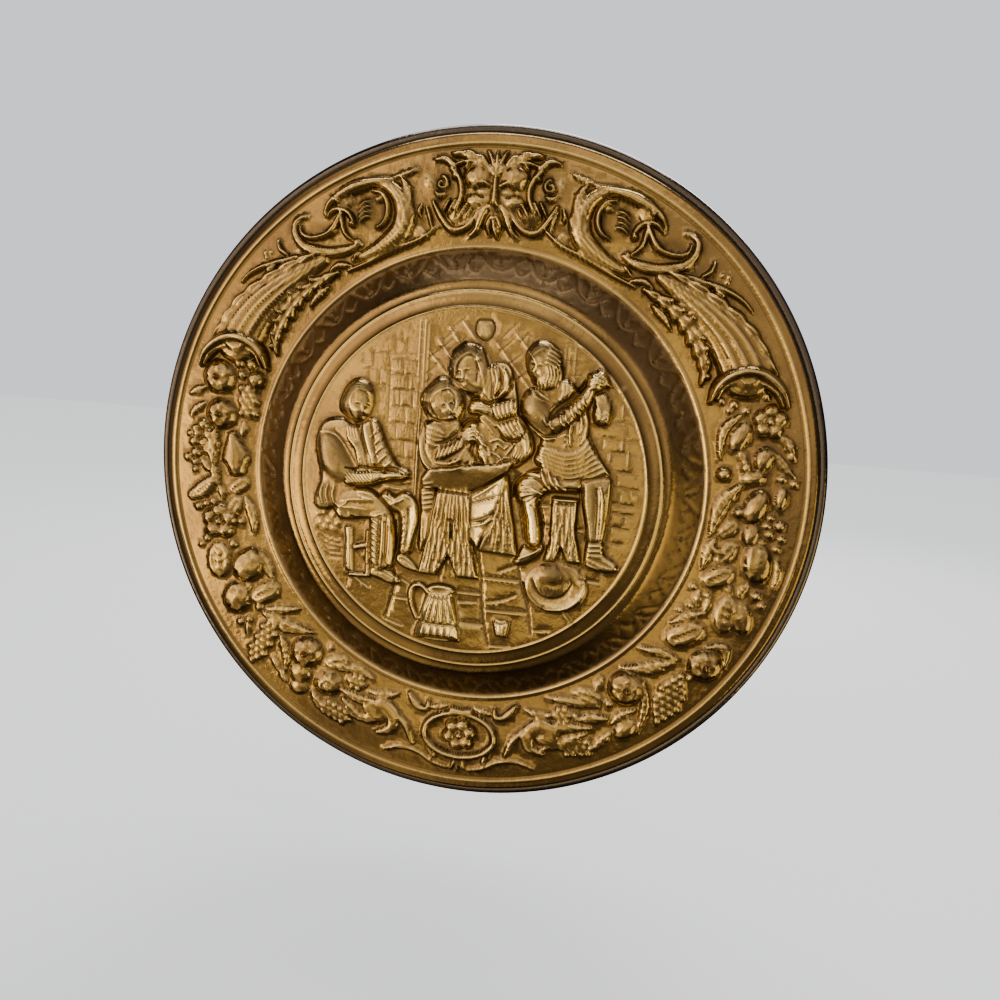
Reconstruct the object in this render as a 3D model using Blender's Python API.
"""A repousse wall plate: one sheet of brass worked in relief, with a rolled edge, and the strap and
wire ring on its back that it hangs by. Lengths are in millimetres until a mesh is made, in metres.

The sheet is described as a height map: x to the right, z up from the plate's centre, and the height
towards the viewer. The front looks along -Y. The origin is the point of the ring that a nail bears on.
"""

import math

import bmesh
import bpy
import numpy as np

MM = 0.001

# The sheet
PLATE_RADIUS = 298.0
SHEET = 0.7
BEAD_RADIUS = 4.5
TURN_RADIUS = 289.0        # where the rim's flat drops into the crevice beside the rolled bead
FILLET_RADIUS = 280.5      # fine raised line at the rim's inner side
BORDER_RADIUS = 200.0      # line between the fruit border and the plain band
BOSS_RADIUS = 171.0        # soft upper edge of the sloping band
STEP_RADIUS = 162.0        # first sharp step of the moulding round the picture
SCENE_RADIUS = 149.0       # second step, the picture's own edge

# Heights of the plain surfaces above the middle of the rolled bead
TURN_HEIGHT = 7.0
FILLET_HEIGHT = 12.0
GROUND_HEIGHT = 10.5
BORDER_HEIGHT = 6.5
BOSS_HEIGHT = 21.5
STEP_HEIGHT = 25.0
SCENE_HEIGHT = 28.5

# The turned surface along a radius: straight slopes between these radii and heights
PROFILE = [
    (0.0, SCENE_HEIGHT),
    (SCENE_RADIUS - 0.8, SCENE_HEIGHT),
    (SCENE_RADIUS + 1.4, SCENE_HEIGHT - 1.5),
    (STEP_RADIUS - 0.4, STEP_HEIGHT + 0.1),
    (STEP_RADIUS + 1.8, STEP_HEIGHT - 1.3),
    (BOSS_RADIUS - 2.0, BOSS_HEIGHT + 0.7),
    (BOSS_RADIUS + 1.0, BOSS_HEIGHT - 0.8),
    (BORDER_RADIUS - 3.2, BORDER_HEIGHT - 0.8),
    (BORDER_RADIUS, BORDER_HEIGHT + 0.7),
    (BORDER_RADIUS + 4, BORDER_HEIGHT),
    (0.5 * (BORDER_RADIUS + FILLET_RADIUS), GROUND_HEIGHT),
    (FILLET_RADIUS - 3, GROUND_HEIGHT - 0.4),
    (FILLET_RADIUS, FILLET_HEIGHT),
]

# The hanger behind the picture
HANGER_X = 5.0
BAR_Z = 135.5              # straight side of the wire ring
WIRE_RADIUS = 0.9
RING_WIDTH = 13.2          # between the middles of the wire
RING_DROP = 13.0
CORNER_RADIUS = 2.0        # of the ring's two upper corners
STRAP_WIDTH = 8.0
STRAP_RISE = 9.5           # from the ring's straight side to the strap's top
FOLD_RISE = 7.0            # and to the end of the part that is folded back
STRAP_THICKNESS = 0.8
GAP = 0.3
EYE_RADIUS = WIRE_RADIUS + GAP + 0.5 * STRAP_THICKNESS
RING_HEIGHT = SCENE_HEIGHT - SHEET - GAP - EYE_RADIUS - 0.5 * STRAP_THICKNESS

# From the plate's centre to the origin, where a nail bears on the ring
BEARING_Z = BAR_Z - WIRE_RADIUS

# How finely the sheet is faceted
MAP_STEP = 1.5
GRID_RINGS = 136
SHEET_TRIANGLES = 3940
FACET_SOFTNESS = 1.6
RIM_SIDES = 64

BRASS = (0.62, 0.42, 0.17, 1.0)
STRAP_BRASS = (0.45, 0.31, 0.14, 1.0)
WIRE_STEEL = (0.30, 0.29, 0.27, 1.0)


# ---------------------------------------------------------------- the height map and its tools


class HeightMap:
    """Heights of the worked sheet over a square that reaches `reach` from the centre."""

    def __init__(self, reach, step):
        self.axis = np.arange(-reach, reach + step, step)
        self.step = step
        self.x, self.z = np.meshgrid(self.axis, self.axis)
        self.h = np.zeros_like(self.x)

    def zone(self, low, high):
        """The slices of the map that hold a box of x and z."""
        first = np.searchsorted(self.axis, low)
        last = np.searchsorted(self.axis, high) + 1
        return slice(first[1], last[1]), slice(first[0], last[0])

    def soften(self, reach):
        """Averages each height with its neighbours in a bell of the given reach."""
        count = int(math.ceil(3 * reach / self.step))
        bell = np.exp(-0.5 * (np.arange(-count, count + 1) * self.step / reach) ** 2)
        bell /= bell.sum()
        for axis in (0, 1):
            padded = np.pad(self.h, [(count, count) if a == axis else (0, 0) for a in (0, 1)], "edge")
            size = self.h.shape[axis]
            shifted = (np.take(padded, range(i, i + size), axis) for i in range(len(bell)))
            self.h = sum(weight * part for weight, part in zip(bell, shifted))

    def at(self, x, z):
        """Heights between the map's points, by straight interpolation both ways."""
        u = (x - self.axis[0]) / self.step
        v = (z - self.axis[0]) / self.step
        column = np.clip(u.astype(int), 0, len(self.axis) - 2)
        row = np.clip(v.astype(int), 0, len(self.axis) - 2)
        u, v = u - column, v - row
        low = self.h[row, column] * (1 - u) + self.h[row, column + 1] * u
        high = self.h[row + 1, column] * (1 - u) + self.h[row + 1, column + 1] * u
        return low * (1 - v) + high * v


def curve(points, samples=26):
    """A smooth line through (x, z) points: the Catmull-Rom spline with its ends doubled."""
    p = np.array([points[0], *points, points[-1]], float)
    t = np.linspace(0, len(points) - 1, samples)
    i = np.minimum(t.astype(int), len(points) - 2)
    f = (t - i)[:, None]
    a, b, c, d = p[i], p[i + 1], p[i + 2], p[i + 3]
    return b + 0.5 * f * (c - a + f * (2 * a - 5 * b + 4 * c - d + f * (3 * b - a - 3 * c + d)))


def spiral(centre, radius, start, turns, samples=30):
    """A scroll's eye: the radius shrinks evenly to a fifth while the angle, in degrees, runs on."""
    share = np.linspace(0, 1, samples)
    angle = np.radians(start + 360 * turns * share)
    reach = radius * (1 - 0.8 * share)
    return np.stack([centre[0] + reach * np.cos(angle), centre[1] + reach * np.sin(angle)], 1)


def graded(values, share):
    """A value that runs evenly through the given ones as the share goes from 0 to 1."""
    values = np.atleast_1d(np.asarray(values, float))
    return np.interp(share, np.linspace(0, 1, len(values)), values) if len(values) > 1 else values[0]


def nearest(path, x, z):
    """For each point: its distance from a path, on which side, and how far along the path."""
    gap = np.full(x.shape, np.inf)
    side = np.zeros(x.shape)
    along = np.zeros(x.shape)
    steps = np.diff(path, axis=0)
    lengths = np.hypot(steps[:, 0], steps[:, 1])
    start = 0.0
    for (ax, az), (sx, sz), length in zip(path[:-1], steps, lengths):
        if length == 0:
            continue
        ux, uz = sx / length, sz / length
        run = np.clip((x - ax) * ux + (z - az) * uz, 0.0, length)
        dx, dz = x - ax - run * ux, z - az - run * uz
        here = np.hypot(dx, dz)
        closer = here < gap
        gap[closer] = here[closer]
        side[closer] = np.sign(ux * dz - uz * dx)[closer]
        along[closer] = (start + run[closer]) / lengths.sum()
        start += length
    return gap, side, along


def round_form(q, along):
    return np.sqrt(np.clip(1 - q * q, 0, 1))


def leaf_form(q, along):
    """A leaf's section: a soft swell with the midrib sunk in it."""
    return np.clip(1 - q * q, 0, 1) ** 0.6 * (1 - 0.35 * np.exp(-((q / 0.18) ** 2)))


def channel_form(q, along):
    """A scroll's section: two rolled edges with a hollow between them."""
    return np.clip(1 - q * q, 0, 1) ** 0.4 * (0.72 + 0.28 * np.abs(q))


def fluted_form(q, along):
    """A horn's section: round, with five flutes along it."""
    return np.sqrt(np.clip(1 - q * q, 0, 1)) * (0.9 + 0.1 * np.cos(5 * math.pi * q))


def sweep(sheet, path, width, height, form=round_form, lift=0.0, add=False):
    """Raises a form along a path. Width (half) and height may be several values along the path."""
    pad = np.max(width) + 3
    zone = sheet.zone(path.min(0) - pad, path.max(0) + pad)
    gap, side, along = nearest(path, sheet.x[zone], sheet.z[zone])
    half = graded(width, along)
    inside = gap < half
    shape = form(np.clip(side * gap / half, -1, 1), along) * graded(height, along)
    join(sheet, zone, inside, shape, lift, add)


def dome(sheet, centre, radii, height, turn=0.0, power=0.5, lift=0.0, add=False):
    """Raises an oval swell: height times (1 - distance squared) to the given power."""
    reach = max(radii) + 3
    zone = sheet.zone(np.array(centre) - reach, np.array(centre) + reach)
    u, v = turned(sheet.x[zone] - centre[0], sheet.z[zone] - centre[1], turn)
    rho = (u / radii[0]) ** 2 + (v / radii[1]) ** 2
    shape = np.clip(1 - rho, 0, 1) ** power * height
    join(sheet, zone, rho < 1, shape, lift, add)


def inside_of(outline, x, z):
    """Which points lie inside a closed outline: those from which a line to the left crosses it an odd
    number of times."""
    odd = np.zeros(x.shape, bool)
    for (ax, az), (bx, bz) in zip(outline, np.roll(outline, -1, axis=0)):
        if az == bz:
            continue
        crosses = (az > z) != (bz > z)
        odd ^= crosses & (x > ax + (z - az) * (bx - ax) / (bz - az))
    return odd


def raised(sheet, corners, height, bevel, tilt=(0.0, 0.0), lift=0.0, smooth=True):
    """Raises what lies inside an outline like a cushion. Its edge is a quarter round as wide as the bevel,
    and inside it is level, or tilted by so many millimetres for each one to the right and upwards."""
    corners = [*corners, corners[0]]
    path = curve(corners, 6 * len(corners)) if smooth else np.array(corners, float)
    zone = sheet.zone(path.min(0) - 3, path.max(0) + 3)
    x, z = sheet.x[zone], sheet.z[zone]
    gap, _, _ = nearest(path, x, z)
    inside = inside_of(path[:-1], x, z)
    depth = np.clip(gap / bevel, 0, 1)
    middle = path.mean(0)
    slope = tilt[0] * (x - middle[0]) + tilt[1] * (z - middle[1])
    join(sheet, zone, inside, (height + slope) * np.sqrt(1 - (1 - depth) ** 2), lift, False)


def join(sheet, zone, inside, shape, lift, add):
    """Puts a form on the sheet: either laid over what is there, or added on top of it."""
    h = sheet.h[zone]
    if add:
        h[inside] += shape[inside]
    else:
        h[inside] = np.maximum(h[inside], lift + shape[inside])


def turned(x, z, degrees):
    """Coordinates in axes that are turned anticlockwise by the given angle."""
    c, s = math.cos(math.radians(degrees)), math.sin(math.radians(degrees))
    return x * c + z * s, z * c - x * s


def mirrored(points, side, middle=0.0):
    """Points of the right-hand half, or of the left-hand one where side is -1."""
    return [(middle + side * x, z) for x, z in points]


# ---------------------------------------------------------------- fruit of the border


def pomegranate(sheet, x, z, radius):
    """A round fruit with a five-pointed crown raised at its middle."""
    dome(sheet, (x, z), (radius, radius), 0.46 * radius)
    for k in range(5):
        angle = math.radians(90 + 72 * k)
        tip = (x + 0.5 * radius * math.cos(angle), z + 0.5 * radius * math.sin(angle))
        sweep(sheet, np.array([(x, z), tip]), (0.16 * radius, 0.07 * radius), 1.2, add=True)


def melon(sheet, x, z, rx, rz, turn):
    """A ribbed fruit: three ribs along an oval swell."""
    dome(sheet, (x, z), (rx, rz), 0.48 * min(rx, rz), turn)
    c, s = math.cos(math.radians(turn)), math.sin(math.radians(turn))
    for offset in (-0.5, 0.0, 0.5):
        ends = [(offset * rx, -0.7 * rz), (1.2 * offset * rx, 0.0), (offset * rx, 0.7 * rz)]
        path = curve([(x + u * c - v * s, z + u * s + v * c) for u, v in ends], 8)
        sweep(sheet, path, (0.08 * rx, 0.15 * rx, 0.08 * rx), 0.9, add=True)


def nut(sheet, x, z, rx, rz, turn):
    """A split nut or bean: an oval swell with a long groove."""
    dome(sheet, (x, z), (rx, rz), 0.5 * min(rx, rz), turn)
    c, s = math.cos(math.radians(turn)), math.sin(math.radians(turn))
    path = np.array([(x - 0.6 * rx * c, z - 0.6 * rx * s), (x + 0.6 * rx * c, z + 0.6 * rx * s)])
    sweep(sheet, path, 0.2 * rz, -1.6, add=True)


def berry(sheet, x, z, radius):
    dome(sheet, (x, z), (radius, radius), 0.95 * radius)


def bunch(sheet, x, z, rx, rz, turn, size):
    """Grapes: berries in rows that fill an oval, over a low swell."""
    dome(sheet, (x, z), (rx, rz), 2.5, turn)
    c, s = math.cos(math.radians(turn)), math.sin(math.radians(turn))
    rows = int(rz / (0.87 * size))
    for row in range(-rows, rows + 1):
        v = row * 1.74 * size
        reach = rx * math.sqrt(max(0.0, 1 - (v / rz) ** 2))
        first = size if row % 2 else 0.0
        for u in np.concatenate([np.arange(first, reach, 2 * size), -np.arange(2 * size - first, reach,
                                                                               2 * size)]):
            dome(sheet, (x + u * c - v * s, z + u * s + v * c), (size, size), 0.9 * size, lift=1.0)


def pod(sheet, x, z, rx, rz, turn):
    """An open husk with a row of seeds in it."""
    dome(sheet, (x, z), (rx, rz), 0.5 * rx, turn)
    dome(sheet, (x, z), (0.62 * rx, 0.72 * rz), -0.25 * rx, turn, add=True)
    c, s = math.cos(math.radians(turn)), math.sin(math.radians(turn))
    for v in (-0.4, 0.0, 0.4):
        dome(sheet, (x - v * rz * s, z + v * rz * c), (0.3 * rx, 0.3 * rx), 1.8, add=True)


def rosette(sheet, x, z, radius, petals):
    """A flower seen from above: petals round a raised heart."""
    for k in range(petals):
        angle = 2 * math.pi * (k + 0.25) / petals
        middle = (x + 0.6 * radius * math.cos(angle), z + 0.6 * radius * math.sin(angle))
        wide = 0.8 * radius * math.sin(math.pi / petals)
        dome(sheet, middle, (0.42 * radius, wide), 0.42 * radius, math.degrees(angle))
    dome(sheet, (x, z), (0.24 * radius, 0.24 * radius), 0.5 * radius)


def leaf(sheet, points, width, height=3.2):
    sweep(sheet, curve(points, 12), (0.25 * width, 0.9 * width, width, 0.6 * width, 0.12 * width), height,
          leaf_form)


# ---------------------------------------------------------------- the border


def mask(sheet):
    """The bearded leaf mask at the top, each half the other's mirror image."""
    middle, level = 1.5, 240.0

    def half(points, side):
        return [(middle + side * u, level + v) for u, v in points]

    dome(sheet, (middle, level - 1), (27, 25), 4.5)
    for side in (-1, 1):
        dome(sheet, half([(15.5, 11)], side)[0], (12.5, 11.5), 8.0)
        dome(sheet, half([(17, -4)], side)[0], (9.5, 7), 7.0)
        dome(sheet, half([(9.5, 2.5)], side)[0], (7.5, 4.5), -2.2, add=True)
        dome(sheet, half([(9.5, 2.5)], side)[0], (5, 2.8), 1.8, add=True)
        sweep(sheet, curve(half([(2, -11), (9, -17), (14, -26), (21, -32)], side)), (3.5, 4.5, 1.5), 7.5)
        beard = [(8, -15), (19, -27), (33, -27), (40, -11), (34, 7), (30, 21)]
        sweep(sheet, curve(half(beard, side)), (4, 6, 6, 5, 3), 6.0, channel_form)
        sweep(sheet, curve(half([(25, -17), (31, -6), (29, 8), (24, 18)], side)), (2, 3.5, 2), 6.0)
        sweep(sheet, curve(half([(4, 16), (13, 27), (26, 32), (37, 31)], side)), (5, 7, 5, 1.5), 6.0,
              leaf_form)
        sweep(sheet, curve(half([(25, 8), (34, 19), (52, 25)], side)), (3, 4.5, 1.2), 4.5, leaf_form)
        sweep(sheet, spiral(half([(48, 5)], side)[0], 6.5, 90, side * 1.1), 2.0, 3.0)
        leaf(sheet, half([(45, -22), (54, -34), (66, -30)], side), 4.0)
        sweep(sheet, curve(half([(3, -12), (7, -20), (5, -30)], side)), (2, 3, 1), 6.0)
    sweep(sheet, curve(half([(0, 9), (0, 0), (0, -8)], 1)), (2.6, 3, 5.2), (8, 9, 10))
    sweep(sheet, curve(half([(0, 16), (1, 26), (6, 34)], 1)), (4.5, 3.5, 1), 5.0)


def c_scroll(sheet, side):
    """A broad C-scroll that ends in a beaked head above and in a curl below."""
    ribbon = [
        (142, 216), (139, 230), (123, 241), (100, 245), (79, 240), (70, 226),
        (77, 210), (96, 199), (125, 192), (150, 189), (165, 196), (166, 208), (157, 214), (149, 213),
    ]
    widths = (1.5, 5.5, 8, 6.5, 7, 8, 7, 6.5, 5.5, 5, 4.5, 3.5, 2.8, 2.2)
    sweep(sheet, curve(mirrored(ribbon, side), 60), widths, 5.5, channel_form)
    dome(sheet, (side * 127, 231), (3.2, 3.2), 7.5)
    hook = [(117, 219), (127, 213), (125, 203), (108, 197)]
    sweep(sheet, curve(mirrored(hook, side)), (2, 3, 2.5, 1.2), 4.5)
    hook = [(88, 237), (80, 226), (84, 215), (97, 209)]
    sweep(sheet, curve(mirrored(hook, side)), (1.5, 3, 1.2), 3.5)
    leaf(sheet, mirrored([(114, 221), (105, 229), (94, 225)], side), 4.5)
    leaf(sheet, mirrored([(73, 249), (55, 236), (36, 213)], side), 4.0, 3.5)
    leaf(sheet, mirrored([(64, 257), (90, 252), (118, 241)], side), 2.5, 2.5)


def horn(sheet, side):
    """The horn of plenty with its rolled mouth, and the long leaves that wrap its tail."""
    body = [(132, 186), (165, 168), (193, 143), (212, 120), (220, 106)]
    sweep(sheet, curve(mirrored(body, side), 30), (4, 10, 18, 25, 28), (4, 6, 8.5, 9.5, 9.5), fluted_form)
    lip = [(254, 86), (246, 103), (222, 112), (199, 106), (189, 88)]
    sweep(sheet, curve(mirrored(lip, side), 30), (2.5, 5, 6, 5, 2.5), (7, 11, 7))
    inner = [(84, 200), (120, 183), (152, 158), (174, 128), (184, 99)]
    sweep(sheet, curve(mirrored(inner, side), 30), (2, 7, 8.5, 8, 1.5), 4.0, leaf_form)
    outer = [(150, 188), (180, 178), (208, 156), (232, 126), (246, 104)]
    sweep(sheet, curve(mirrored(outer, side), 30), (1.5, 4.5, 5, 3.5, 1), 3.5, leaf_form)
    leaf(sheet, mirrored([(168, 186), (180, 190), (183, 199)], side), 3.5)
    for x, z in ((190, 185), (195, 184)):
        berry(sheet, side * x, z, 2.4)


def berries(sheet, side, *each):
    for x, z, radius in each:
        berry(sheet, side * x, z, radius)


def garland_left(sheet):
    """The fruit that hangs down the left side of the border, from the horn's mouth to the foot."""
    def at(*points):
        return mirrored(points, -1)

    berries(sheet, -1, (218, 89, 4.5), (207, 88, 5), (216, 79, 4), (203, 75, 8), (252, 32, 5.5),
            (260, 28, 3.5), (265, 23, 3), (258, 23, 4), (247, 23, 5.5), (261, 16, 4.5), (252, 15, 5),
            (259, 6, 5), (267, 1, 4), (260, -3, 3.5), (249, 8, 4), (260, -10, 3), (256, -44, 4),
            (249, -41, 3.5), (242, -38, 3.5), (215, -55, 3.5), (247, -67, 3.5), (248, -74, 3.5),
            (253, -80, 3), (222, -77, 4), (218, -102, 4), (211, -109, 3.5), (206, -116, 3.5),
            (195, -135, 4), (213, -151, 4), (205, -148, 3.5), (125, -168, 2.5))
    pomegranate(sheet, -237, 76, 15)
    pomegranate(sheet, -235, 43, 14)
    bunch(sheet, -210, 56, 10, 16, 0, 3.2)
    leaf(sheet, at((250, 66), (260, 62), (266, 58)), 4)
    leaf(sheet, at((250, 52), (261, 44), (264, 36)), 4)
    sweep(sheet, curve(at((224, 24), (222, 8), (220, -6)), 8), (4, 9, 13, 8), 6.0)
    leaf(sheet, at((240, 28), (243, 10), (241, -6)), 7, 5.0)
    leaf(sheet, at((242, -2), (240, -14), (236, -24)), 5, 4.0)
    sweep(sheet, curve(at((244, -20), (252, -28), (262, -34)), 8), (6, 8.5, 5), 5.0, leaf_form)
    nut(sheet, -218, -22, 11, 7, 38)
    nut(sheet, -222, -42, 11, 7, 62)
    leaf(sheet, at((212, -32), (205, -48), (203, -66)), 6, 3.5)
    rosette(sheet, -235, -56, 17, 5)
    pod(sheet, -235, -93, 12, 18, 0)
    melon(sheet, -207, -96, 15, 17, -35)
    leaf(sheet, at((205, -80), (192, -92), (182, -110)), 7, 3.5)
    melon(sheet, -217, -128, 14, 16, -20)
    nut(sheet, -190, -121, 15, 10, 32)
    leaf(sheet, at((188, -136), (172, -136), (156, -133)), 5, 3.5)
    leaf(sheet, at((190, -140), (168, -151), (142, -155)), 8, 4.0)
    bunch(sheet, -190, -167, 9, 26, -28, 3.4)
    leaf(sheet, at((173, -160), (167, -178), (168, -197)), 5, 4.0)
    pomegranate(sheet, -148, -174, 15)
    nut(sheet, -118, -181, 12, 7, 15)
    dome(sheet, (-153, -195), (11, 10), 5.0)
    dome(sheet, (-154, -209), (9, 8), 4.0)
    dome(sheet, (-125, -202), (14, 12), 5.0)
    sweep(sheet, spiral((-124, -203), 8, 200, -1.2), 1.8, 1.6, add=True)
    leaf(sheet, at((116, -188), (98, -186), (80, -195)), 5, 3.0)
    bunch(sheet, -98, -198, 12, 6, -15, 3)
    leaf(sheet, at((112, -206), (92, -214), (70, -213)), 5, 4.0)
    bunch(sheet, -117, -229, 17, 9, -25, 3.2)
    leaf(sheet, at((140, -212), (133, -224), (120, -233)), 5, 3.5)
    leaf(sheet, at((110, -214), (98, -228), (80, -236)), 6, 4.0)


def garland_right(sheet):
    """The fruit that hangs down the right side: other kinds than on the left, in the same places."""
    berries(sheet, 1, (202, 87, 3), (212, 85, 3.5), (220, 94, 3.5), (227, 95, 3.5), (237, 93, 3),
            (209, 80, 3), (222, 81, 3), (261, 54, 4), (263, 46, 3), (228, 34, 4.5), (211, 27, 6),
            (268, 24, 3), (258, 27, 3), (227, -4, 4.5), (253, -6, 3), (251, -13, 3), (261, -12, 4.5),
            (254, -20, 3.5), (248, -27, 3), (264, -23, 3), (261, -32, 3), (213, -39, 3.5), (198, -72, 3),
            (210, -78, 3), (202, -82, 3), (197, -89, 3), (189, -94, 3), (250, -74, 4), (255, -82, 3),
            (204, -145, 4), (204, -154, 3), (136, -187, 3.5), (107, -182, 2.5))
    rosette(sheet, 242, 73, 14, 5)
    leaf(sheet, [(219, 77), (207, 63), (206, 38)], 4.5, 4.0)
    dome(sheet, (220, 59), (8, 14), 5.0, -22)
    dome(sheet, (241, 42), (8, 11), 6.0, -8)
    dome(sheet, (235, 26), (10, 6.5), 4.5, 8)
    leaf(sheet, [(249, 62), (259, 57), (266, 42)], 4)
    leaf(sheet, [(246, 50), (256, 40), (268, 28)], 4)
    leaf(sheet, [(226, 19), (212, 0), (206, -28)], 7, 4.0)
    dome(sheet, (240, 2), (10, 15.5), 7.0, -16)
    dome(sheet, (239, -22), (7, 10), 5.0, -10)
    dome(sheet, (259, 11), (5, 10), 4.5)
    nut(sheet, 221, -19, 9, 6, 48)
    leaf(sheet, [(210, -28), (206, -42), (203, -56)], 5, 3.5)
    nut(sheet, 221, -40, 12, 7, 58)
    nut(sheet, 217, -61, 14, 9, 32)
    melon(sheet, 247, -46, 12, 18, 6)
    leaf(sheet, [(262, -42), (265, -54), (262, -68)], 3.5, 3.0)
    pod(sheet, 227, -93, 10, 17, -4)
    melon(sheet, 240, -95, 9, 15, 14)
    leaf(sheet, [(208, -94), (196, -99), (181, -107)], 5, 3.5)
    nut(sheet, 195, -115, 18, 11, 30)
    pomegranate(sheet, 215, -141, 15)
    leaf(sheet, [(214, -124), (230, -124), (231, -142)], 5, 4.0)
    leaf(sheet, [(190, -138), (174, -134), (158, -133)], 5, 3.5)
    leaf(sheet, [(188, -141), (168, -150), (144, -153)], 7, 4.0)
    bunch(sheet, 188, -175, 13, 24, -20, 3.4)
    pomegranate(sheet, 150, -171, 16)
    leaf(sheet, [(165, -163), (168, -186), (163, -213)], 5, 4.0)
    nut(sheet, 118, -183, 13, 7, -12)
    dome(sheet, (153, -209), (9, 13), 5.5, -32)
    leaf(sheet, [(140, -205), (149, -196), (160, -189)], 5, 4.0)
    leaf(sheet, [(136, -201), (122, -203), (106, -207)], 6, 4.0)
    leaf(sheet, [(128, -191), (106, -191), (80, -190)], 5, 3.0)
    bunch(sheet, 96, -204, 13, 6, 8, 3)
    leaf(sheet, [(122, -212), (94, -216), (66, -222)], 6, 4.0)
    bunch(sheet, 112, -233, 16, 7, 10, 3.2)
    leaf(sheet, [(140, -214), (133, -224), (122, -236)], 5, 3.5)
    leaf(sheet, [(118, -218), (100, -230), (78, -240)], 6, 4.0)


def cartouche(sheet):
    """The oval at the foot with its flower, and the small scrolls and leaves about it."""
    middle, level = 3.0, -236.0
    angle = np.linspace(0, 2 * math.pi, 49)
    oval = np.stack([middle + 33 * np.cos(angle), level + 21 * np.sin(angle)], 1)
    sweep(sheet, oval, 3.0, 5.0)
    dome(sheet, (middle, level), (31, 19), -2.0, power=1.0, add=True)
    rosette(sheet, middle, level + 1, 16, 6)
    for side in (-1, 1):
        def half(points):
            return mirrored(points, side, middle)

        sweep(sheet, curve(half([(50, -202), (42, -213), (33, -215), (31, -208)])), (1.5, 4, 3, 1.5), 4.0)
        leaf(sheet, half([(29, -213), (20, -212), (11, -209)]), 3.5)
        leaf(sheet, half([(60, -204), (72, -208), (90, -205)]), 4.0, 3.0)
        sweep(sheet, curve(half([(66, -220), (52, -232), (44, -250)])), (2, 3.5, 2), 3.5)
        sweep(sheet, curve(half([(88, -220), (74, -217), (64, -226), (66, -239), (78, -243)])),
              (6, 7, 7, 5, 2), 5.0, channel_form)
        dome(sheet, half([(82, -229)])[0], (12, 7), 4.5)
        sweep(sheet, curve(half([(72, -260), (55, -255), (38, -258), (24, -266), (10, -270)])),
              (1, 2.5, 2, 2, 1), 2.5)
        leaf(sheet, half([(30, -250), (24, -260), (27, -264)]), 3.0)
        leaf(sheet, half([(3, -258), (4, -266), (8, -271)]), 2.5)
    leaf(sheet, [(3, -256), (3, -264), (3, -273)], 2.5)
    sweep(sheet, curve([(-6, -212), (3, -213), (12, -212)], 6), 2.5, 4.0)


# ---------------------------------------------------------------- the picture


def limb(sheet, points, width, height):
    sweep(sheet, curve(points, 16), width, height)


def seated_man_left(sheet):
    """Coat, arms and crossed knees, on a stool."""
    coat = [(-112, 50), (-122, 49), (-129, 46), (-134, 39), (-137, 26), (-135, 12), (-132, 0), (-132, -8),
            (-137, -22), (-134, -31), (-122, -31), (-112, -24), (-100, -11), (-85, -4), (-74, 2), (-62, 8),
            (-68, 21), (-76, 36), (-82, 48), (-90, 50), (-100, 44)]
    raised(sheet, coat, 4.0, 4)
    raised(sheet, [(-109, -44), (-101, -44), (-99, -86), (-107, -84)], 3.0, 2.5, smooth=False)
    raised(sheet, [(-89, -46), (-84, -46), (-84, -87), (-88, -87)], 3.0, 2, smooth=False)
    raised(sheet, [(-104, -90), (-83, -89), (-83, -85), (-103, -86)], 3.0, 1.5, smooth=False)
    raised(sheet, [(-100, -66), (-85, -62), (-85, -57), (-100, -61)], 2.4, 2, smooth=False)
    raised(sheet, [(-72, -8), (-64, -13), (-57, -9), (-50, -11), (-45, -17), (-42, -25), (-42, -36),
                   (-45, -48), (-48, -63), (-58, -65), (-58, -45), (-60, -30), (-68, -26), (-78, -16)], 5.0,
           5)
    raised(sheet, [(-60, -65), (-52, -65), (-45, -71), (-39, -79), (-50, -78), (-60, -72)], 3.6, 2.5)
    raised(sheet, [(-118, -24), (-112, -13), (-100, -9), (-92, -8), (-84, -10), (-76, -16), (-68, -25),
                   (-63, -38), (-72, -40), (-86, -36), (-100, -38), (-112, -38), (-119, -31)], 5.8, 6)
    raised(sheet, [(-86, -34), (-72, -33), (-63, -38), (-61, -58), (-64, -78), (-81, -81), (-85, -58)], 5.6,
           5, (0.10, 0.0))
    raised(sheet, [(-83, -79), (-73, -78), (-60, -83), (-56, -90), (-62, -93), (-74, -90), (-84, -86)], 4.2,
           3)
    arm = [(-90, 51), (-83, 50), (-78, 42), (-73, 30), (-67, 20), (-61, 12), (-53, 9), (-53, 5), (-66, 7),
           (-80, 8), (-88, 11), (-87, 26), (-88, 40)]
    raised(sheet, arm, 5.8, 5)
    sleeve = [(-131, 39), (-124, 38), (-117, 35), (-109, 26), (-102, 14), (-98, 4), (-102, -6), (-112, -8),
              (-124, -4), (-132, 4), (-136, 16), (-136, 30)]
    raised(sheet, sleeve, 7.2, 12)
    raised(sheet, [(-110, 8), (-98, 6), (-84, 8), (-72, 8), (-60, 8), (-52, 5), (-56, 1), (-72, -2),
                   (-84, -7), (-98, -9), (-110, -8)], 6.6, 5)
    head = [(-117, 56), (-117, 62), (-114, 71), (-110, 78), (-104, 83), (-97, 84), (-91, 81), (-87, 74),
            (-87, 64), (-90, 55), (-95, 48), (-102, 46), (-110, 50)]
    raised(sheet, head, 7.0, 13)


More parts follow.
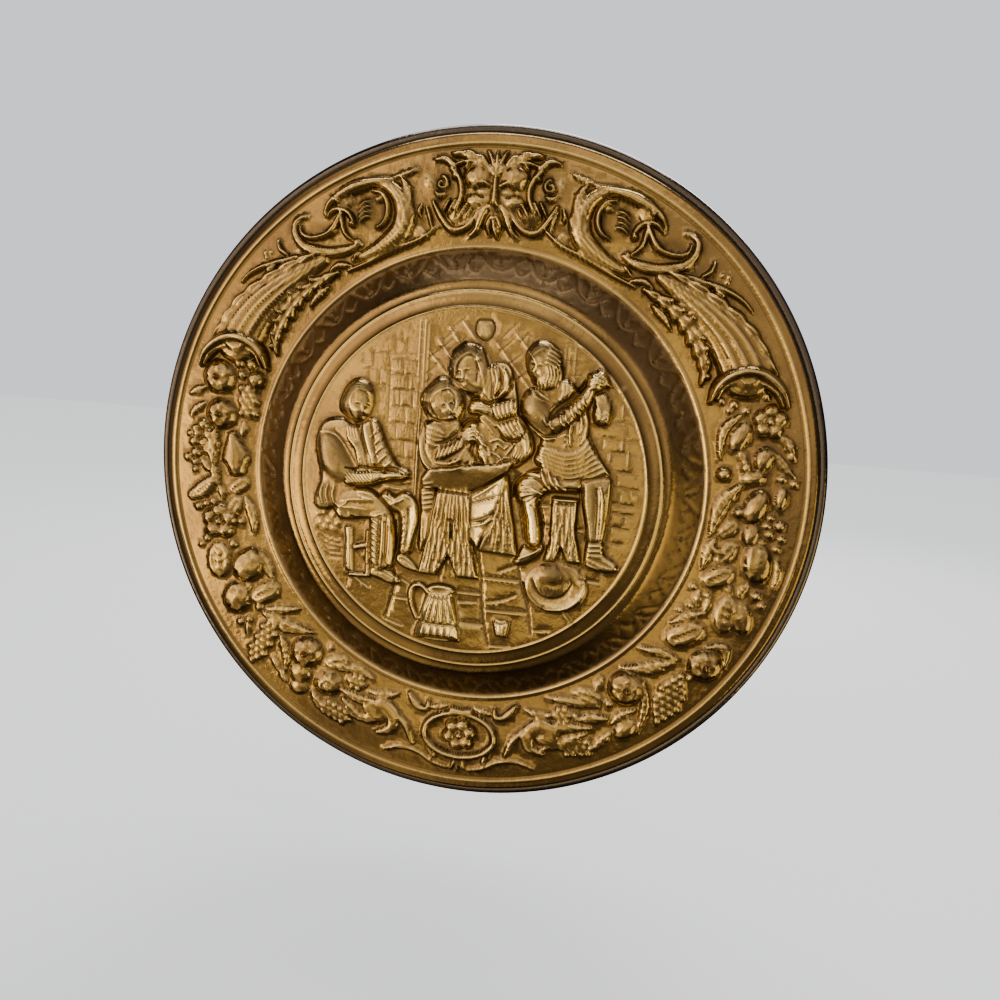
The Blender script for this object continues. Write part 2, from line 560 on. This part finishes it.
def seated_man_behind(sheet):
    """Head, shoulder, the arm across him and the mug he holds."""
    raised(sheet, [(-41, 8), (-30, 6), (-28, -10), (-27, -30), (-32, -48), (-37, -60), (-42, -56),
                   (-41, -30), (-43, -8)], 3.4, 4)
    raised(sheet, [(-42, 52), (-34, 54), (-24, 53), (-13, 56), (-6, 44), (0, 30), (6, 20), (-10, 12),
                   (-24, 10), (-36, 10), (-43, 18), (-46, 34)], 4.0, 4)
    raised(sheet, [(-32, 22), (-28, 32), (-18, 37), (-12, 43), (-8, 51), (-2, 55), (5, 54), (8, 46),
                   (2, 36), (-7, 28), (-18, 21), (-27, 18)], 6.2, 6)
    raised(sheet, [(1, 43), (8, 46), (15, 36), (7, 31)], 5.2, 2.5, (0.2, 0.0), smooth=False)
    head = [(-47, 68), (-45, 76), (-39, 83), (-32, 90), (-23, 90), (-15, 84), (-10, 76), (-8, 65),
            (-12, 55), (-20, 51), (-32, 53), (-41, 58)]
    raised(sheet, head, 7.0, 14)


def standing_figure(sheet):
    """A hooded head, a wide sleeve and an apron."""
    gown = [(8, 100), (14, 104), (22, 105), (29, 101), (33, 90), (36, 76), (38, 63), (46, 54), (51, 44),
            (52, 34), (46, 26), (38, 20), (22, 16), (10, 20), (4, 34), (4, 56), (2, 76)]
    raised(sheet, gown, 3.8, 4)
    raised(sheet, [(12, 102), (20, 105), (28, 101), (31, 91), (33, 80), (27, 76), (18, 76), (13, 88)], 5.4,
           7)
    raised(sheet, [(20, 54), (38, 62), (46, 54), (51, 44), (52, 34), (46, 27), (42, 36), (40, 42), (30, 42),
                   (24, 46)], 5.0, 4)
    raised(sheet, [(-6, 66), (-3, 72), (6, 74), (13, 71), (20, 74), (30, 78), (36, 74), (37, 64), (30, 59),
                   (20, 56), (8, 61), (-3, 61)], 6.0, 5)
    head = [(-24, 97), (-22, 107), (-16, 115), (-7, 119), (2, 116), (8, 108), (11, 97), (12, 84), (8, 77),
            (-3, 76), (-13, 80), (-21, 88)]
    raised(sheet, head, 6.4, 13)


def seated_man_right(sheet):
    """He lifts a glass. A full sleeve, an apron drawn round the waist, and spread knees."""
    coat = [(44, 84), (39, 76), (40, 65), (48, 54), (57, 46), (56, 36), (53, 27), (62, 18), (80, 10),
            (100, 14), (117, 20), (108, 32), (101, 43), (97, 52), (95, 68), (88, 84), (74, 95), (60, 86)]
    raised(sheet, coat, 4.2, 4)
    raised(sheet, [(94, 13), (106, 18), (118, 18), (119, 4), (118, -20), (116, -36), (104, -38), (100, -24),
                   (96, -6)], 5.6, 5, (-0.12, 0.0))
    raised(sheet, [(103, -37), (116, -36), (119, -47), (128, -53), (131, -60), (120, -63), (104, -59),
                   (102, -48)], 4.0, 3.5)
    raised(sheet, [(60, 22), (50, 18), (42, 11), (39, 1), (43, -9), (52, -9), (60, -5), (68, 1), (80, 2),
                   (94, 4), (96, 14), (80, 14), (70, 18)], 6.6, 8)
    raised(sheet, [(44, 0), (45, -10), (49, -24), (52, -42), (60, -47), (65, -42), (64, -28), (60, -12),
                   (58, -2)], 6.6, 6, (0.16, 0.0))
    raised(sheet, [(50, -45), (58, -48), (66, -43), (67, -49), (60, -57), (50, -63), (42, -62), (45, -56)],
           5.0, 3.5)
    raised(sheet, [(42, 84), (38, 74), (40, 63), (49, 54), (60, 49), (70, 50), (75, 58), (70, 66), (64, 74),
                   (58, 82), (50, 87)], 7.4, 14)
    limb(sheet, [(66, 57), (76, 63), (88, 76), (96, 90)], (8, 8, 7, 4.5), (6.6, 7.6, 7.4))
    dome(sheet, (98, 94), (7.5, 8.5), 7.4, -20)
    raised(sheet, [(97, 84), (107, 87), (112, 76), (112, 63), (105, 60), (99, 65), (99, 75)], 4.0, 4)
    raised(sheet, [(98, 105), (106, 104), (111, 92), (103, 89)], 5.0, 2.5, smooth=False)
    head = [(39, 110), (42, 118), (50, 125), (58, 124), (66, 118), (71, 108), (72, 97), (70, 87), (62, 82),
            (53, 84), (46, 92), (41, 101)]
    raised(sheet, head, 7.2, 14)


def table_and_stools(sheet):
    """A block and a crate under a slanting board, and the stump that the man at the right sits on."""
    raised(sheet, [(-27, -3), (-32, -40), (-40, -80), (-25, -80), (-14, -62), (-5, -80), (13, -80),
                   (6, -50), (2, -3)], 4.8, 2, smooth=False)
    raised(sheet, [(22, -4), (33, 14), (38, -20), (46, -56), (12, -54), (17, -32)], 6.6, 1.5, (-0.10, 0.0),
           smooth=False)
    raised(sheet, [(1, -5), (1, -30), (5, -44), (11, -54), (19, -32), (29, -4), (32, 14)], 6.0, 1.5,
           (0.26, -0.04), smooth=False)
    raised(sheet, [(-42, 3), (-40, -4), (2, -5), (32, 15), (38, 26), (20, 21), (2, 19), (-36, 12)], 6.4,
           1.5, (0.0, 0.15), smooth=False)
    raised(sheet, [(71, -2), (93, -2), (92, -30), (99, -57), (88, -57), (82, -45), (77, -58), (68, -58),
                   (73, -38)], 4.8, 2, smooth=False)


def things_on_the_floor(sheet):
    """A tankard, a hat and a cup."""
    handle = [(-30, -97), (-36, -91), (-43, -92), (-46, -99), (-44, -110), (-39, -121)]
    sweep(sheet, curve(handle), 2.2, 4)
    raised(sheet, [(-31, -94), (-36, -118), (-41, -138), (0, -138), (-3, -118), (-7, -94)], 6.2, 6,
           smooth=False)
    dome(sheet, (-18.5, -93), (12.5, 4.8), 6.6, power=0.2)
    dome(sheet, (80, -80), (26.5, 22), 3.0, power=0.2)
    dome(sheet, (80, -82), (23, 18), -1.6, power=1.0, add=True)
    dome(sheet, (77, -74), (16, 14.5), 6.6, power=0.4)
    dome(sheet, (77, -67), (9, 7), -3.6, power=1.0, add=True)
    raised(sheet, [(28, -114), (44, -114), (41, -130), (32, -130)], 4.0, 3, smooth=False)


def worked_sheet():
    """The relief on the sheet's front, above the turned surface."""
    sheet = HeightMap(PLATE_RADIUS + 10, MAP_STEP)
    for side in (-1, 1):
        c_scroll(sheet, side)
        horn(sheet, side)
    garland_left(sheet)
    garland_right(sheet)
    mask(sheet)
    cartouche(sheet)
    standing_figure(sheet)
    seated_man_behind(sheet)
    table_and_stools(sheet)
    seated_man_left(sheet)
    seated_man_right(sheet)
    things_on_the_floor(sheet)
    sheet.soften(FACET_SOFTNESS)
    return sheet


# ---------------------------------------------------------------- meshes


def concentric_grid(radii):
    """A square grid drawn out into rings: its points' angle and radius, and its four-sided faces."""
    count = len(radii)
    side = np.arange(-count, count + 1)
    u, v = np.meshgrid(side, side)
    ring = np.maximum(abs(u), abs(v))
    along_u = abs(u) >= abs(v)
    longer = np.where(along_u, u, v)
    shorter = np.where(along_u, v, u)
    eighth = math.pi / 4 * shorter / np.where(longer == 0, 1, longer)
    angle = np.where(along_u, eighth, math.pi / 2 - eighth) + np.where(longer < 0, math.pi, 0.0)
    radius = np.concatenate([[0.0], radii])[ring]
    index = np.arange(u.size).reshape(u.shape)
    faces = np.stack([index[:-1, :-1], index[:-1, 1:], index[1:, 1:], index[1:, :-1]], -1)
    return angle.ravel(), radius.ravel(), faces.reshape(-1, 4)


def new_mesh(name, points, faces):
    """A mesh from points in millimetres."""
    mesh = bpy.data.meshes.new(name)
    mesh.from_pydata((np.asarray(points) * MM).tolist(), [], [tuple(map(int, face)) for face in faces])
    mesh.validate()
    return mesh


def front_triangles(sheet):
    """The sheet's front inside the fillet, with its facets spent where the relief is."""
    even = np.linspace(0, FILLET_RADIUS, GRID_RINGS + 1)[1:]
    for line, _ in PROFILE[1:-1]:
        even[np.argmin(abs(even - line))] = line
    angle, radius, faces = concentric_grid(even)
    x, z = radius * np.cos(angle), radius * np.sin(angle)
    height = sheet.at(x, z) + np.interp(radius, *zip(*PROFILE))
    mesh = new_mesh("front", np.stack([x, -height, z], 1), faces)
    rough = bpy.data.objects.new("front", mesh)
    bpy.context.collection.objects.link(rough)
    thin = rough.modifiers.new("fewer facets", "DECIMATE")
    thin.ratio = SHEET_TRIANGLES / (2 * len(faces))
    thin.use_collapse_triangulate = True
    done = rough.evaluated_get(bpy.context.evaluated_depsgraph_get()).to_mesh()
    points = np.array([vertex.co for vertex in done.vertices]) / MM
    triangles = np.array([face.vertices for face in done.polygons])
    bpy.data.objects.remove(rough)
    return points, triangles


def rim_loop(triangles):
    """The points on the open edge of a disc of triangles."""
    edges = np.concatenate([triangles[:, [0, 1]], triangles[:, [1, 2]], triangles[:, [2, 0]]])
    names, uses = np.unique(np.sort(edges, axis=1), axis=0, return_counts=True)
    return np.unique(names[uses == 1])


def zip_rings(inner, inner_angle, outer, outer_angle):
    """Triangles between two rings of points that are sorted by angle, stepping along both in turn."""
    inner = np.append(inner, inner[0])
    outer = np.append(outer, outer[0])
    inner_angle = np.append(inner_angle, inner_angle[0] + 2 * math.pi)
    outer_angle = np.append(outer_angle, outer_angle[0] + 2 * math.pi)
    i = j = 0
    triangles = []
    while i < len(inner) - 1 or j < len(outer) - 1:
        step_inner = j == len(outer) - 1 or (i < len(inner) - 1 and inner_angle[i + 1] < outer_angle[j + 1])
        if step_inner:
            triangles.append((inner[i], outer[j], inner[i + 1]))
            i += 1
        else:
            triangles.append((inner[i], outer[j], outer[j + 1]))
            j += 1
    return np.array(triangles)


def rim_section():
    """The rim from its flat, down into the crevice, round the rolled bead and back under the sheet, as
    pairs of radius and height."""
    middle = PLATE_RADIUS - BEAD_RADIUS
    angles = np.radians(np.arange(90, -181, -45))
    bead = [(middle + BEAD_RADIUS * math.cos(a), BEAD_RADIUS * math.sin(a)) for a in angles]
    crevice = (TURN_RADIUS + 1.4, 2.8)
    return [(TURN_RADIUS, TURN_HEIGHT), crevice, *bead, (TURN_RADIUS - 0.9, TURN_HEIGHT - 0.2)]


def plate_mesh():
    """The sheet as one closed body: its front, the same surface again one thickness behind, and the
    rolled rim that joins the two."""
    front, triangles = front_triangles(worked_sheet())
    edge = rim_loop(triangles)
    angle = np.arctan2(front[edge, 2], front[edge, 0])
    edge, angle = edge[np.argsort(angle)], np.sort(angle)
    front[edge, 0] = FILLET_RADIUS * np.cos(angle)
    front[edge, 2] = FILLET_RADIUS * np.sin(angle)
    front[edge, 1] = -FILLET_HEIGHT
    back = front + (0, SHEET, 0)

    turn = -math.pi + 2 * math.pi * np.arange(RIM_SIDES) / RIM_SIDES
    section = rim_section()
    rings = [np.stack([r * np.cos(turn), np.full(RIM_SIDES, -h), r * np.sin(turn)], 1) for r, h in section]
    first = 2 * len(front)
    ring = [np.arange(RIM_SIDES) + first + k * RIM_SIDES for k in range(len(rings))]

    faces = [tuple(face) for face in triangles]
    faces += [tuple(face[::-1]) for face in triangles + len(front)]
    faces += [tuple(face) for face in zip_rings(edge, angle, ring[0], turn)]
    faces += [tuple(face[::-1]) for face in zip_rings(edge + len(front), angle, ring[-1], turn)]
    for near, far in zip(ring[:-1], ring[1:]):
        faces += zip(near, far, np.roll(far, -1), np.roll(near, -1))
    return new_mesh("plate", np.concatenate([front, back, *rings]), faces)


def strap_mesh():
    """A strip folded round the ring's straight side. Its middle line runs down the sheet, round the
    wire and up behind itself; the strip is that line with a thickness and a width."""
    eye = np.radians(np.linspace(0, -180, 9))
    line = [(EYE_RADIUS, STRAP_RISE), (EYE_RADIUS, FOLD_RISE)]
    line += [(EYE_RADIUS * math.cos(a), EYE_RADIUS * math.sin(a)) for a in eye]
    behind = EYE_RADIUS - STRAP_THICKNESS - GAP
    line += [(-0.8, 1.9), (behind - 0.25, 3.1), (behind, 4.2), (behind, FOLD_RISE)]
    line = np.array(line)
    way = np.gradient(line, axis=0)
    way /= np.hypot(way[:, 0], way[:, 1])[:, None]
    across = 0.5 * STRAP_THICKNESS * np.stack([-way[:, 1], way[:, 0]], 1)
    corners = []
    for x in (-0.5 * STRAP_WIDTH, 0.5 * STRAP_WIDTH):
        for offset in (across, -across):
            towards, up = (line + offset).T
            corners.append(np.stack([np.full(len(line), x), -towards, up], 1))
    count = len(line)
    a, b, c, d = (np.arange(count) + k * count for k in (0, 1, 3, 2))
    faces = []
    for near, far in ((a, b), (b, c), (c, d), (d, a)):
        faces += zip(near[:-1], near[1:], far[1:], far[:-1])
    faces += [(a[0], b[0], c[0], d[0]), (d[-1], c[-1], b[-1], a[-1])]
    return new_mesh("hanger_strap", np.concatenate(corners), faces)


def ring_mesh():
    """The wire ring: a straight bar with rounded corners and a half round below it, as a round tube."""
    half = 0.5 * RING_WIDTH
    corner = np.radians(np.linspace(90, 0, 4))
    bow = np.radians(np.linspace(0, -180, 13))
    right = [(half - CORNER_RADIUS + CORNER_RADIUS * math.cos(t),
              -CORNER_RADIUS + CORNER_RADIUS * math.sin(t)) for t in corner]
    low = [(half * math.cos(t), half - RING_DROP + half * math.sin(t)) for t in bow]
    left = [(-x, z) for x, z in reversed(right)]
    path = np.array(right + low + left)
    way = np.roll(path, -1, axis=0) - np.roll(path, 1, axis=0)
    way /= np.hypot(way[:, 0], way[:, 1])[:, None]
    sides = 8
    turn = 2 * math.pi * np.arange(sides) / sides
    outward = np.stack([-way[:, 1], way[:, 0]], 1)
    x = path[:, :1] + WIRE_RADIUS * outward[:, :1] * np.cos(turn)
    z = path[:, 1:] + WIRE_RADIUS * outward[:, 1:] * np.cos(turn)
    y = np.broadcast_to(WIRE_RADIUS * np.sin(turn), x.shape)
    index = np.arange(x.size).reshape(x.shape)
    ahead, beside = np.roll(index, -1, axis=0), np.roll(index, -1, axis=1)
    faces = np.stack([index, beside, np.roll(beside, -1, axis=0), ahead], -1).reshape(-1, 4)
    return new_mesh("hanging_ring", np.stack([x, y, z], -1).reshape(-1, 3), faces)


# ---------------------------------------------------------------- objects


def finish(name, colour, metallic, roughness):
    material = bpy.data.materials.new(name)
    material.use_nodes = True
    shader = material.node_tree.nodes["Principled BSDF"]
    shader.inputs["Base Color"].default_value = colour
    shader.inputs["Metallic"].default_value = metallic
    shader.inputs["Roughness"].default_value = roughness
    return material


def place(mesh, location, material, sharp_degrees):
    """Links a mesh as an object, its faces turned outwards, smooth but for its sharp edges."""
    work = bmesh.new()
    work.from_mesh(mesh)
    bmesh.ops.recalc_face_normals(work, faces=work.faces)
    work.to_mesh(mesh)
    work.free()
    mesh.shade_smooth()
    mesh.set_sharp_from_angle(angle=math.radians(sharp_degrees))
    mesh.materials.append(material)
    piece = bpy.data.objects.new(mesh.name, mesh)
    piece.location = [value * MM for value in location]
    bpy.context.collection.objects.link(piece)
    return piece


def build():
    for old in list(bpy.data.objects):
        bpy.data.objects.remove(old)
    bar = (0.0, 0.0, WIRE_RADIUS)
    place(plate_mesh(), (-HANGER_X, RING_HEIGHT, -BEARING_Z), finish("worked brass", BRASS, 1.0, 0.35), 60)
    place(strap_mesh(), bar, finish("strap brass", STRAP_BRASS, 1.0, 0.45), 40)
    place(ring_mesh(), bar, finish("ring wire", WIRE_STEEL, 1.0, 0.45), 60)


build()
